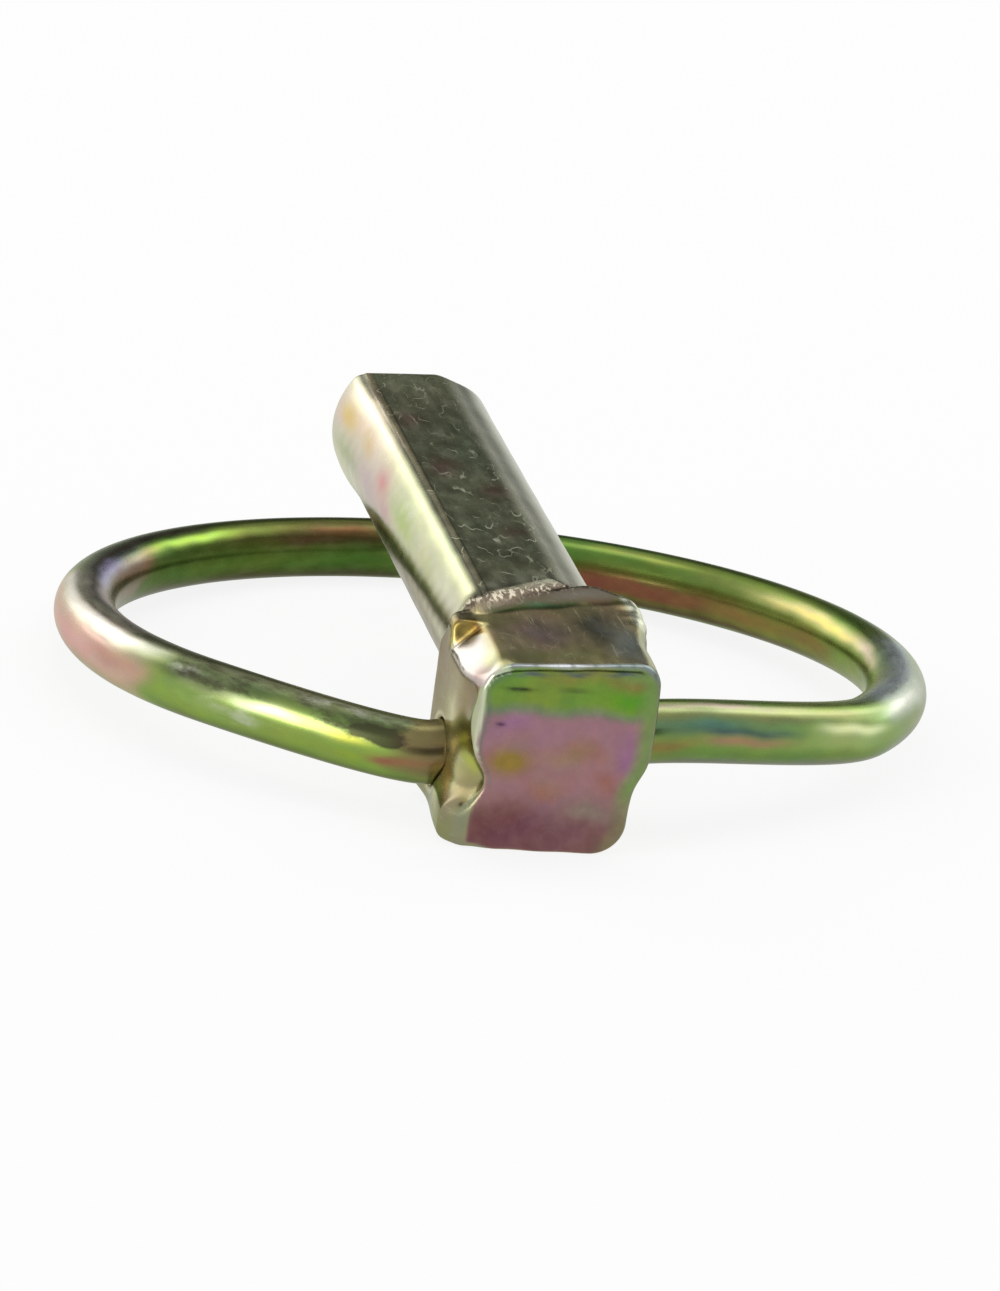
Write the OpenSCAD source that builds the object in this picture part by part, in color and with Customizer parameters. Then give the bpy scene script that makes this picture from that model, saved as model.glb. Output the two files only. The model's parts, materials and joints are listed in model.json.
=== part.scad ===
// Lynch pin: a forged pin with a flat along its shank, and a sprung wire ring that turns in a hole
// bored across its head. It lies at rest on the ring's far side and the lower front edge of the head.

/* [Shank] */
// Diameter of the round shank
shank_d = 10; // [9:0.5:11]
// Length of the shank, from the shoulder of the head to its tip
shank_len = 41.4; // [37:0.2:42]
// Height of the shank's flat above the shank's axis
flat_height = 3.6; // [3.4:0.1:4.4]
// Turn of the flat about the shank's axis, in degrees
flat_roll = 3; // [0:1:6]
// Radius of the rounded edge at the shank's tip
tip_round = 0.7; // [0.3:0.1:1.5]

/* [Head] */
// Width of the head at its upper lobe
head_w = 11.4; // [10.8:0.2:12]
// Width of the head's lower lobe
lobe_w = 10.2; // [9.4:0.2:10.8]
// Length of the head along the shank's axis
head_len = 11; // [10:0.1:12]
// Height of the head's top above the shank's axis
head_top = 3; // [2.4:0.1:3.2]
// Depth of the head's underside below the shank's axis
head_bottom = 8.9; // [8.4:0.1:9.6]
// Radius of the head's two long upper edges
top_corner = 2.2; // [1.2:0.1:2.8]
// Radius of the head's two long lower edges
bottom_corner = 2.4; // [1.2:0.1:3]
// Radius of the rim round the head's end face
rim_round = 0.6; // [0.3:0.1:1]
// Radius of the shoulders where the head turns in to the shank
shoulder_round = 2.2; // [1:0.1:3]
// How far the head's sides swell out between its two ends
side_swell = 0.4; // [0.2:0.1:0.6]
// How far the waist is sunk into each side at the cross hole
waist_depth = 1.1; // [0.6:0.1:1.3]
// Radius of the waist's hollow
waist_round = 2.6; // [2:0.1:4]

/* [Neck] */
// Length of the raised collar between the head's top and the shank's flat
collar_len = 1.9; // [1:0.1:3]
// Height of the collar above the shank's axis
collar_top = 3.6; // [3.3:0.1:3.8]

// How far the shank flares where it enters the head
neck_flare = 0.45; // [0.2:0.05:0.6]

/* [Hinge] */
// Distance of the cross hole from the head's end face, at the middle of the head
hinge_back = 7.1; // [6:0.1:7.4]
// Depth of the cross hole below the shank's axis, at the middle of the head
hinge_drop = 4.5; // [4:0.1:5]
// Slope of the cross hole over the head, in degrees, which sets one end of the wire above the other
hinge_slope = 9; // [4:0.2:12]
// Radial clearance between the wire's ends and the cross hole
hinge_clearance = 0.08; // [0.04:0.01:0.1]

/* [Ring] */
// Diameter of the spring wire
wire_d = 3.9; // [3.4:0.1:4]
// Radius of the ring, to the middle of the wire
ring_radius = 25.6; // [24.5:0.1:27]
// Distance from the hinge to the middle of the ring
ring_reach = 23.6; // [23.4:0.1:26]
// How far the ring sits to one side of the pin
ring_shift = 2.2; // [0:0.1:3]
// How far the ring's plane lies below the hinge's middle
ring_sag = 0.1; // [0:0.1:0.8]
// Angle of the pin's shank above the surface that it lies on
pin_rise = 2.9; // [0:0.1:6]

/* [Hidden] */
$fn = 96;
eps = 0.01;

shank_r = shank_d / 2;
neck_run = 0.3;                      // the flare ends this far outside the head
neck_root = 1.2;                     // and starts this deep inside its shoulders
wire_r = wire_d / 2;
stub_r = wire_r - 0.04;              // the wire's ends are dressed a little to enter the hole
hole_r = stub_r + hinge_clearance;
hinge_y = hinge_back - head_len;     // in the pin's own frame, where the shank's axis is y
stub_reach = head_w / 2 + 0.5;       // how far the straight end of the wire runs along the hinge's axis
stub_gap = 1.2;                      // between the two ends, inside the head

leg_start = 126;                     // angle from the ring's far point where each leg leaves the circle
leg_overlap = 1.5;                   // angle by which the round arc runs on inside each leg
leg_pull = [4.6, 5];                 // how far the left and right legs keep the circle's direction
stub_pull = [1.9, 4.2];              // how far they keep the hinge's direction
leg_sides = 24;
leg_rings = 18;
leg_skin = 0.02;                     // the swept leg stands proud of the round arc by this

// Height of the hinge above the surface, with the head's lower front edge resting on it
hinge_h = (hinge_back - rim_round) * sin(pin_rise)
        + (head_bottom - hinge_drop - rim_round) * cos(pin_rise) + rim_round;
// Slope of the ring, whose far side rests on the same surface
ring_far = ring_reach + ring_radius;
ring_fall = asin((hinge_h - wire_r) / sqrt(pow(ring_far, 2) + pow(ring_sag, 2)))
          - atan(ring_sag / ring_far);

// The row's origin is under the middle of the whole object
front_y = -(hinge_back - rim_round) * cos(pin_rise)
        - (hinge_drop + head_top - rim_round) * sin(pin_rise) - rim_round;
back_y = ring_reach * cos(ring_fall) - ring_sag * sin(ring_fall)
       + ring_radius * cos(ring_fall) + wire_r;
hinge_place = [-ring_shift, -(front_y + back_y) / 2, hinge_h];

// Puts a piece, drawn about the hinge's middle, at its place on the surface
module at_hinge(tilt) {
    translate(hinge_place) rotate([tilt, 0, 0]) children();
}

// A rectangle from its lower left to its upper right, with one radius for its two lower corners
// and another for its two upper corners
module rounded_outline(low, high, low_r, high_r) {
    difference() {
        translate(low) square(high - low);
        for (side = [0, 1]) {
            corner_notch([side ? high.x : low.x, low.y], [side ? -1 : 1, 1], low_r);
            corner_notch([side ? high.x : low.x, high.y], [side ? -1 : 1, -1], high_r);
        }
    }
}

// What a corner loses when it is rounded
module corner_notch(corner, inward, r) {
    difference() {
        translate([min(corner.x - inward.x, corner.x + inward.x * r),
                   min(corner.y - inward.y, corner.y + inward.y * r)]) square(r + 1);
        translate([corner.x + inward.x * r, corner.y + inward.y * r]) circle(r);
    }
}

// The head's outline as seen on its end face: two lobes with a waist between them
module head_outline(top) {
    difference() {
        union() {
            rounded_outline([-head_w / 2, -hinge_drop], [head_w / 2, top], 0.5, top_corner);
            rounded_outline([-lobe_w / 2, -head_bottom], [lobe_w / 2, -hinge_drop + 1],
                            bottom_corner, 0.5);
        }
        for (side = [-1, 1])
            translate([side * (head_w / 2 - waist_depth + waist_round), -hinge_drop])
                circle(waist_round);
    }
}

// The head's outline from above, with swollen sides and rounded shoulders
module head_plan() {
    swell_r = (pow(head_len / 2, 2) + pow(side_swell, 2)) / (2 * side_swell);
    intersection() {
        rounded_outline([-head_w / 2, -head_len], [head_w / 2, 0], rim_round, shoulder_round);
        for (side = [-1, 1])
            translate([side * (swell_r - head_w / 2), -head_len / 2]) circle(swell_r, $fn = 360);
    }
}

// A block of the head between two heights of its top, from one y to another
module head_block(y0, y1, top) {
    intersection() {
        translate([0, y1, 0]) rotate([90, 0, 0]) linear_extrude(y1 - y0) head_outline(top);
        translate([0, 0, -head_bottom - 1]) linear_extrude(head_bottom + top + 2) head_plan();
        rotate([90, 0, 90]) translate([0, 0, -head_w]) linear_extrude(2 * head_w)
            rounded_outline([-head_len, -head_bottom], [1, top], rim_round, rim_round);
    }
}

// The round shank, from inside the head to its rounded tip, lying along y
module shank() {
    rotate([-90, 0, 0]) {
        translate([0, 0, -neck_root])
            cylinder(r1 = shank_r + neck_flare, r2 = shank_r, h = neck_root + neck_run);
        translate([0, 0, neck_run]) cylinder(r = shank_r, h = shank_len - tip_round - neck_run);
        cylinder(r = shank_r - tip_round, h = shank_len);
        translate([0, 0, shank_len - tip_round])
            rotate_extrude() translate([shank_r - tip_round, 0]) circle(tip_round);
    }
}

module forged_pin() {
    color("#8f8a4e") at_hinge(pin_rise) translate([0, -hinge_y, hinge_drop])
        difference() {
            union() {
                head_block(-head_len, 0, head_top);
                head_block(-collar_len, 0, collar_top);
                difference() {
                    shank();
                    // the flat along the shank
                    rotate([0, flat_roll, 0]) translate([-shank_d, -head_len, flat_height])
                        cube([2 * shank_d, shank_len + 2 * head_len, shank_r]);
                    // the head's own top stays clear of the shank's round
                    translate([-shank_d, -head_len, head_top - eps])
                        cube([2 * shank_d, head_len - collar_len, shank_r]);
                }
            }
            // the cross hole for the wire's two ends
            translate([0, hinge_y, -hinge_drop]) rotate([0, 90 - hinge_slope, 0])
                cylinder(r = hole_r, h = 3 * head_w, center = true);
        }
}

// One leg's middle line, a curve from the circle to the straight end of the wire. side is -1 or 1.
function unit(v) = v / norm(v);
function curve(p, t) = pow(1 - t, 3) * p[0] + 3 * t * pow(1 - t, 2) * p[1]
                     + 3 * t * t * (1 - t) * p[2] + pow(t, 3) * p[3];
function curve_way(p, t) = unit(pow(1 - t, 2) * (p[1] - p[0]) + 2 * t * (1 - t) * (p[2] - p[1])
                                + t * t * (p[3] - p[2]));
// The hinge's axis, seen in the ring's own frame
ring_turn = pin_rise + ring_fall;
hinge_axis = [cos(hinge_slope), -sin(hinge_slope) * sin(ring_turn),
              sin(hinge_slope) * cos(ring_turn)];
function leg_route(side) = let (
    start = [side * ring_radius * sin(leg_start) + ring_shift,
             ring_reach + ring_radius * cos(leg_start), -ring_sag],
    way = [side * cos(leg_start), -sin(leg_start), 0],
    out = side * hinge_axis,
    hand = side < 0 ? 0 : 1)
    [start, start + leg_pull[hand] * way, out * (stub_reach + stub_pull[hand]), out * stub_reach];

// A ring of points round the leg's middle line at t
function leg_ring(route, t, r) = let (
    way = curve_way(route, t),
    across = unit(cross([0, 0, 1], way)),
    up = cross(way, across))
    [for (i = [0 : leg_sides - 1]) let (a = 360 * i / leg_sides)
        curve(route, t) + r * (cos(a) * across + sin(a) * up)];

module leg(side) {
    r = (wire_r + leg_skin) / cos(180 / leg_sides);
    route = leg_route(side);
    points = [for (k = [0 : leg_rings]) each leg_ring(route, k / leg_rings, r)];
    last = leg_rings * leg_sides;
    polyhedron(
        points = points,
        faces = concat(
            [[for (i = [0 : leg_sides - 1]) i]],
            [for (k = [0 : leg_rings - 1], i = [0 : leg_sides - 1]) let (j = (i + 1) % leg_sides)
                each [[k * leg_sides + i, (k + 1) * leg_sides + i, (k + 1) * leg_sides + j],
                      [k * leg_sides + i, (k + 1) * leg_sides + j, k * leg_sides + j]]],
            [[for (i = [leg_sides - 1 : -1 : 0]) last + i]]),
        convexity = 4);
}

module spring_ring() {
    color("#7d9a3a") at_hinge(-ring_fall) {
        // the round of the ring
        translate([ring_shift, ring_reach, -ring_sag])
            rotate([0, 0, 90 - leg_start - leg_overlap])
                rotate_extrude(angle = 2 * (leg_start + leg_overlap), $fn = 180)
                    translate([ring_radius, 0]) circle(wire_r, $fn = 48);
        for (side = [-1, 1]) {
            leg(side);
            // the straight end that turns in the head
            rotate([ring_turn, 0, 0]) rotate([0, side * 90 - hinge_slope, 0])
                translate([0, 0, stub_gap / 2])
                    cylinder(r = stub_r, h = stub_reach + 0.4 - stub_gap / 2);
        }
    }
}

forged_pin();
spring_ring();
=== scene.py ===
import json
import math

import bpy
import numpy as np
from mathutils import Matrix, Vector


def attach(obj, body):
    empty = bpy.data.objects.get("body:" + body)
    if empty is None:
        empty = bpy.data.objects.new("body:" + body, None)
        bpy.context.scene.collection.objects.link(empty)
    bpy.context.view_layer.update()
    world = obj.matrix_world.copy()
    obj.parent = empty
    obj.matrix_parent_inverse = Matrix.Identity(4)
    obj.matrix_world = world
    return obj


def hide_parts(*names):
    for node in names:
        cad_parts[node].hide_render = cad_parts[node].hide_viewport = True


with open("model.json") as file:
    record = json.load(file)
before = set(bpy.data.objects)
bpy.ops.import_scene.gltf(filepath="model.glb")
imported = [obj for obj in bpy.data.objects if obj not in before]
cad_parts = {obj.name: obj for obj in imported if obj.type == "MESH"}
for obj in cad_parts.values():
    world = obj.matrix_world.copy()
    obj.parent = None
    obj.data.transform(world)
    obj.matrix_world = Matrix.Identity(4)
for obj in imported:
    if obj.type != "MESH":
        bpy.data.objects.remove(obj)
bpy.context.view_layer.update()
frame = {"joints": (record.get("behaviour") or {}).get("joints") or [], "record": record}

hinge = frame["joints"][0]
shank_mount = frame["record"]["mounts"][0]


# ---- Forged pin ------------------------------------------------------------------------------
# A round steel pin with one end upset into a square head, and a flat struck along the shank. Dies
# leave a lip round the end face, a waist beside the cross hole and burrs across the flat's end.

SHANK_LEN = 41.4       # mm, as are all the sizes here, in the pin's own frame: y runs along the
SHANK_R = 5.0          # shank's axis from the head's shoulder, and z points out of the flat
FLAT_HEIGHT = 3.6
FLAT_ROLL = math.radians(3.0)
SHOULDER_Y = 1.15      # where the flat meets the head, in the middle of the shank
SHOULDER_SLANT = 0.44  # and how fast that line moves up the shank to the right
HEAD_LEN = 11.0
END_FACE_Y = -10.94
HEAD_TOP = 3.0
TOP_RISE = 0.055       # how fast the head's top rises to the right
HEAD_BOTTOM = 8.85
HEAD_LEFT = 5.3        # the head's sides at the end face, out from the shank's axis
HEAD_RIGHT = 4.65
CHAMFER_OUT = 4.72     # the flat across the top left corner, out from the axis
FOLD_START = -3.9      # the chamfer ends in a fold of metal between these two places
FOLD_END = -2.75
WAIST_Z = -4.6
WAIST_DEPTH = 1.02
LOBE_OUT = 1.15        # how far the lower left corner stands out behind the end face
WIRE_ROOM = 0.38       # what it lacks beside the hole, so that the wire clears it as it turns
RIM_R = 0.42
HOLE = (0.0, -3.9, -4.5)
HOLE_R = 1.99
HOLE_SLOPE = math.radians(9.0)
SKIN_STEP = 0.163      # spacing of the mesh that is laid over the pin


def ease(v, low, high):
    """0 up to low, 1 from high on, and a smooth rise between them."""
    t = np.clip((v - low) / (high - low), 0.0, 1.0)
    return t * t * (3.0 - 2.0 * t)


def swell(v, middle, spread):
    """1 at the middle, fading out over its spread to both sides."""
    return np.exp(-(((v - middle) / spread) ** 2))


def inside_both(a, b, r):
    """Where two surfaces bound the metal together, with their edge rounded to radius r."""
    return np.minimum(np.maximum(a, b), -r) + np.hypot(np.maximum(a + r, 0), np.maximum(b + r, 0))


def welded(a, b, r):
    """Two bodies of metal as one, with a fillet of radius r between them."""
    return np.maximum(np.minimum(a, b), r) - np.hypot(np.maximum(r - a, 0), np.maximum(r - b, 0))


def head_section(x, y, z):
    """Below zero inside the head's outline across the pin; the size of the rim round the end face;
    and how far the left side stands out."""
    back = y + HEAD_LEN                                    # distance behind the end face
    behind = ease(back, 0.0, 4.5)
    near_face = swell(back, 0, 1.6)
    lobe = ease(-z, 5.2, 7.2)
    left = HEAD_LEFT + 0.4 * behind * (1 - lobe) + lobe * LOBE_OUT * ease(back, 0, 1.8)
    left -= WAIST_DEPTH * swell(z, WAIST_Z, 1.4) * swell(np.maximum(back - 0.6, 0), 0, 1.9)
    left += 0.18 * swell(z, -0.9, 1.1) * swell(back, 0.5, 1.2)
    left -= WIRE_ROOM * lobe * swell(back, 7.2, 3.0)
    # the right side stands out above the level of the hole, and more towards the shank
    above = 1 / (1 + np.exp(-(z + 3.9) / 0.5))
    right = HEAD_RIGHT + 0.45 * behind + above * (
        1.0 - 0.5 * behind + 0.75 * ease(back, 4, 9) + 0.08 * ease(back, 9, 10.5))
    # a step across the head's top leads up to the flat
    top = HEAD_TOP + TOP_RISE * x + 0.3 * ease(y + 1.1 - 0.2 * x, 0.0, 2.8)
    floor = HEAD_BOTTOM + 0.1 * swell(back, 4.5, 3.5) * swell(x, -2.5, 3.0)

    over, under = z - top, -z - floor
    off_left, off_right = -x - left, x - right
    chamfer = (z - x) / math.sqrt(2) - (CHAMFER_OUT + 0.2 * near_face
                                        + 1.4 * ease(y, FOLD_START, FOLD_END))
    top_left = inside_both(off_left, over, 0.6)
    top_left = inside_both(top_left, chamfer, 0.22 + 0.6 * swell(back, 0.0, 0.9))
    top_right = inside_both(off_right, over, 1.2 + 0.4 * near_face - 0.4 * ease(y, -3.0, -1.0))
    section = inside_both(np.maximum(top_left, top_right), under, 0.3)
    low_right = inside_both(off_right, under, 2.0)
    low_left = inside_both(off_left, under, 0.6)
    section = np.maximum(section, np.maximum(low_right, low_left))
    rim = RIM_R + 0.3 * swell(x, 4.8, 1.3) * swell(z, 2.0, 1.8) + 0.04 * np.sin(2.1 * x - 1.4 * z)
    rim += ease(-x, 3.0, 4.6) * (0.46 * swell(z, -0.6, 1.6) + 0.15 * swell(z, 2.4, 1.2)
                                 + 0.3 * lobe - 0.22 * (1 - ease(-z, 4.4, 5.8)))
    return section, rim, left


def shoulder_line(x, z):
    """How far along the shank the head reaches, further on the right until the corner is cut."""
    cut = 0.01 * x * x + 3.0 * ease(x, 3.0, 6.9)
    return (SHOULDER_Y + SHOULDER_SLANT * x - cut) * ease(z, 0.0, 2.4)


def head_field(x, y, z):
    """Below zero inside the head."""
    section, rim, left = head_section(x, y, z)
    body = inside_both(section, END_FACE_Y - y, rim)
    end = y - shoulder_line(x, z)
    shoulder = inside_both(-x - left, end, 0.7)
    return inside_both(np.maximum(body, shoulder), end, 0.45)


def shank_field(x, y, z):
    """Below zero inside the shank, which flares into the head and is spread a little at its tip."""
    flare = 0.35 * swell(y, -0.6, 0.8) + 0.22 * swell(y, 39.5, 3.0) * ease(-x, 1, 4)
    side = np.hypot(x, z) - SHANK_R - flare
    # the flat is struck deeper in a narrow strip beside its left edge, and rises at the tip
    flat = z * math.cos(FLAT_ROLL) - x * math.sin(FLAT_ROLL) - FLAT_HEIGHT
    strip = -x - 3.0 - 0.3 * ease(y, 18, 36)
    flat = flat + 0.09 * ease(strip, 0.0, 0.3) - 0.08 * ease(y, 37, 41)
    bar = inside_both(side, flat, 0.3 + 2.1 * ease(x, -0.5, 3.0))
    bar = inside_both(bar, y - SHANK_LEN, 0.45)
    # the flat ends in a slope down to the head's top
    slope = (shoulder_line(x, z) - 0.6 - y + 2.6 * (z - 3.1)) / 2.8
    return np.maximum(bar, np.maximum(slope, -2.0 - y))


def pin_field(x, y, z):
    """Below zero inside the metal of the whole pin."""
    solid = welded(head_field(x, y, z), shank_field(x, y, z), 0.12 + 0.4 * (1 - ease(z, 1.0, 2.8)))
    # the metal pushed up across the slanting end of the flat
    burr_line = y - shoulder_line(x, 3.0)
    solid -= 0.03 * swell(burr_line, 0, 0.6) * ease(z, 2.6, 3.2) * ease(-x, -4.2, -3.0)
    # the crumpled right shoulder
    crumple = np.sin(2.3 * y + 1.2 * z + 0.6) * np.sin(1.9 * z - 1.1 * y)
    solid += 0.07 * crumple * swell(y, -1.8, 2.4) * ease(x, 4.3, 5.3) * ease(z, -0.5, 1.2)
    # the cross hole
    hx, hy, hz = x - HOLE[0], y - HOLE[1], z - HOLE[2]
    off = hx * math.sin(HOLE_SLOPE) - hz * math.cos(HOLE_SLOPE)
    solid = inside_both(solid, HOLE_R - np.hypot(off, hy), 0.22)
    # the unevenness that forging leaves
    solid += 0.014 * np.sin(0.9 * x + 0.6 * y + 1.3) * np.sin(0.8 * z - 0.5 * y + 0.4)
    solid += 0.003 * np.sin(2.1 * x - 1.3 * z + 0.9 * y) * np.sin(1.7 * y + 1.1 * z + 2.0)
    return solid


def laid_skin(field, low, high, step):
    """A closed mesh of even quads on the surface where the field is zero."""
    lines = [np.arange(a, b + step, step) for a, b in zip(low, high)]
    value = field(*np.meshgrid(*lines, indexing="ij", sparse=True))
    inside = value < 0
    count = sum(inside[i:inside.shape[0] - 1 + i, j:inside.shape[1] - 1 + j,
                       k:inside.shape[2] - 1 + k].astype(np.int8)
                for i in (0, 1) for j in (0, 1) for k in (0, 1))
    mixed = (count > 0) & (count < 8)
    number = np.full(mixed.shape, -1)
    number[mixed] = np.arange(mixed.sum())
    cell = np.argwhere(mixed)
    # each cell's point is the mean of the places where its edges cross the surface
    total, hits = np.zeros(cell.shape), np.zeros(len(cell))
    for axis in range(3):
        b, c = (axis + 1) % 3, (axis + 2) % 3
        for i in (0, 1):
            for j in (0, 1):
                start = cell.copy()
                start[:, b] += i
                start[:, c] += j
                end = start.copy()
                end[:, axis] += 1
                v0, v1 = value[tuple(start.T)], value[tuple(end.T)]
                cut = (v0 < 0) != (v1 < 0)
                at = start.astype(float)
                at[:, axis] += np.where(cut, v0 / np.where(cut, v0 - v1, 1), 0)
                total += at * cut[:, None]
                hits += cut
    points = np.array(low) + step * total / hits[:, None]
    # then it is moved on to the surface itself
    nudge = 0.02
    for _ in range(3):
        slope = np.stack([(field(*(points + nudge * e).T) - field(*(points - nudge * e).T))
                          / (2 * nudge) for e in np.eye(3)], axis=1)
        reach = (field(*points.T) / np.maximum((slope ** 2).sum(1), 0.2))[:, None] * slope
        points -= np.clip(reach, -0.5 * step, 0.5 * step)
    quads = []
    for axis in range(3):
        b, c = (axis + 1) % 3, (axis + 2) % 3
        near = np.moveaxis(inside, axis, 0)
        edge = np.argwhere(np.moveaxis(near[:-1] != near[1:], 0, axis))
        edge = edge[(edge[:, b] > 0) & (edge[:, c] > 0)
                    & (edge[:, b] < mixed.shape[b]) & (edge[:, c] < mixed.shape[c])]
        ring = []
        for i, j in ((1, 1), (0, 1), (0, 0), (1, 0)):
            at = edge.copy()
            at[:, b] -= i
            at[:, c] -= j
            ring.append(number[tuple(at.T)])
        ring = np.stack(ring, axis=1)
        outward = inside[tuple(edge.T)]
        quads.append(np.where(outward[:, None], ring, ring[:, ::-1]))
    return points, np.concatenate(quads)


def placed_mesh(name, points, quads, place):
    """A smooth mesh from points in mm, put where the piece lies."""
    points = points @ np.array(place.to_3x3()).T * 0.001 + np.array(place.translation)
    mesh = bpy.data.meshes.new(name)
    mesh.vertices.add(len(points))
    mesh.vertices.foreach_set("co", points.astype(np.float32).ravel())
    mesh.loops.add(quads.size)
    mesh.loops.foreach_set("vertex_index", quads.astype(np.int32).ravel())
    mesh.polygons.add(len(quads))
    mesh.polygons.foreach_set("loop_start", np.arange(0, quads.size, 4, dtype=np.int32))
    mesh.update(calc_edges=True)
    mesh.validate()
    mesh.shade_smooth()
    piece = bpy.data.objects.new(name, mesh)
    bpy.context.scene.collection.objects.link(piece)
    return piece


def kept_on(mesh, name, values):
    """Keeps a number, or three, at each point of the mesh for the finish to read."""
    kind = "FLOAT" if values.ndim == 1 else "FLOAT_VECTOR"
    kept = mesh.attributes.new(name, kind, "POINT")
    kept.data.foreach_set("value" if kind == "FLOAT" else "vector",
                          values.astype(np.float32).ravel())


# where the pin lies: its shank's axis from the mount, and the hole's middle on the hinge
pin_axis = Vector(shank_mount["axis"]).normalized()
pin_up = Vector((1, 0, 0)).cross(pin_axis)
pin_turn = Matrix(((1, 0, 0), pin_axis, pin_up)).transposed()
pin_place = pin_turn.to_4x4()
pin_place.translation = Vector(hinge["pos_m"]) - pin_turn @ (Vector(HOLE) * 0.001)

pin_points, pin_quads = laid_skin(pin_field, (-7.2, -11.6, -9.9), (7.2, 42.0, 5.2), SKIN_STEP)
forged = placed_mesh("forged_pin_dressed", pin_points, pin_quads, pin_place)


def tint(code):
    """A colour written as sRGB hex, as the linear RGBA that nodes take."""
    parts = [int(code[i:i + 2], 16) / 255 for i in (1, 3, 5)]
    return [v / 12.92 if v <= 0.04045 else ((v + 0.055) / 1.055) ** 2.4 for v in parts] + [1.0]


def put(tree, kind, inputs=None, **settings):
    """Adds a node; an input is a value, or a node or one of its sockets to link from."""
    node = tree.nodes.new(kind)
    for key, value in settings.items():
        setattr(node, key, value)
    for key, value in (inputs or {}).items():
        if isinstance(value, bpy.types.Node):
            value = next(socket for socket in value.outputs if socket.enabled)
        if isinstance(value, bpy.types.NodeSocket):
            tree.links.new(value, node.inputs[key])
        else:
            node.inputs[key].default_value = value
    return node


def wander(points, size, pitch):
    """The points drifted a little, so that what is laid on them has uneven edges."""
    x, y, z = (points * (2 * math.pi / pitch)).T
    return points + size * np.stack([np.sin(y + 1.3) + 0.5 * np.sin(2.3 * z + 1.9 * x),
                                     np.sin(z + 0.4) + 0.5 * np.sin(2.1 * x + 2.2 * y),
                                     np.sin(x + 2.2) + 0.5 * np.sin(2.6 * y + 1.7 * z)], axis=1)


def patch(points, at, reach):
    """1 at a place, fading out over its reach along x, y and z."""
    return np.exp(-(((points - np.array(at)) / np.array(reach)) ** 2).sum(1))


def lay(film_and_painted_light, code, amount):
    """Turns the colour towards another, by an amount from 0 to 1 at each point; besides the film's
    own colours, some are painted highlights and painted shade.
    """
    film_and_painted_light += (np.array(tint(code)[:3]) - film_and_painted_light) * np.clip(amount, 0, 1)[:, None]


def laid_patches(film_and_painted_light, area, rows):
    """Lays patches within one area, each with its colour, edge, place, reach and amount."""
    for code, points, at, reach, amount in rows:
        lay(film_and_painted_light, code, area * patch(points, at, reach) * amount)


# how far each point belongs to each surface, from 0 to 1
DEEP = 9               # mm, a patch's reach where its depth makes no difference
spots = wander(wander(pin_points, 0.22, 4.3), 0.05, 1.3)   # for patches with an uneven edge
px, py, pz = pin_points.T
wz = spots[:, 2]
section, rim, left = head_section(px, py, pz)
inner = -section / rim                                     # 1 where the lip meets the end face
end_face = 1 - ease(py, -10.9, -10.7)
lip = (1 - end_face) * (1 - ease(py - END_FACE_Y - rim, -0.05, 0.15))
past_burrs = py - shoulder_line(px, pz)
on_shank = ease(past_burrs, -0.2, 0.5)
height = pz - TOP_RISE * px
on_top = ease(height, 2.75, 2.95) * (1 - on_shank) * ease(py, -10.45, -10.15) * ease(px, -4.4, -4.0)
on_flat = ease(pz, 3.2, 3.4) * on_shank * ease(px, -3.6, -3.4) * (1 - ease(px, 2.6, 3.2))
on_side = ease(-px, 3.9, 4.6) * (1 - on_shank) * (1 - end_face)
on_chamfer = ease(pz - px, 6.4, 6.6) * on_side * (1 - ease(py, -3.4, -3.0))
round_left = on_shank * (1 - on_flat) * ease(-px, -1.0, 1.0)
round_right = on_shank * (1 - on_flat) * (1 - ease(-px, -1.0, 1.0))
film_and_painted_light = np.tile(tint("#b3b18c")[:3], (len(pin_points), 1))

# the end face: rose and gold under a green band, darkening to plum below
lay(film_and_painted_light, "#966e74", end_face)
laid_patches(film_and_painted_light, end_face, [
    ("#94698a", spots, (-3.4, -11, -0.8), (1.3, DEEP, 0.8), 0.8),
    ("#917256", spots, (0.9, -11, -2.5), (1.7, DEEP, 0.7), 0.9),
    ("#8c7a34", pin_points, (-3.0, -11, -3.2), (1.3, DEEP, 0.8), 1.3),
    ("#8f6350", spots, (3.0, -11, -4.2), (1.2, DEEP, 0.8), 0.8),
    ("#8f6450", spots, (-0.9, -11, -4.8), (1.2, DEEP, 0.6), 0.8),
    ("#8c5c82", spots, (4.1, -11, -2.6), (0.8, DEEP, 1.7), 0.7)])
lay(film_and_painted_light, "#76504f", end_face * ease(-wz, 4.6, 7.0))
laid_patches(film_and_painted_light, end_face, [
    ("#6b3f48", spots, (-3.0, -11, -7.4), (2.6, DEEP, 1.3), 0.9),
    ("#85786a", spots, (2.0, -11, -6.2), (1.7, DEEP, 0.8), 0.9)])
lay(film_and_painted_light, "#677c62", end_face * ease(0.5 * (wz + pz), -0.5, 0.25) * 0.85)
lay(film_and_painted_light, "#6c8a35", end_face * ease(0.5 * (wz + pz), -0.15, 0.7))
laid_patches(film_and_painted_light, end_face, [
    ("#81823a", spots, (0.8, -11, 2.5), (2.6, DEEP, 0.5), 1),
    ("#5c941f", spots, (3.3, -11, 1.0), (1.4, DEEP, 0.6), 1),
    ("#7d6f3a", spots, (3.8, -11, 2.3), (1.4, DEEP, 0.5), 1)])
lay(film_and_painted_light, "#718a4c", end_face * (1 - ease(-section, 0.5, 1.5)) * ease(px, 2.5, 3.8)
    * (0.35 + 0.55 * ease(pz, -6.5, -4.5)))
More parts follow.
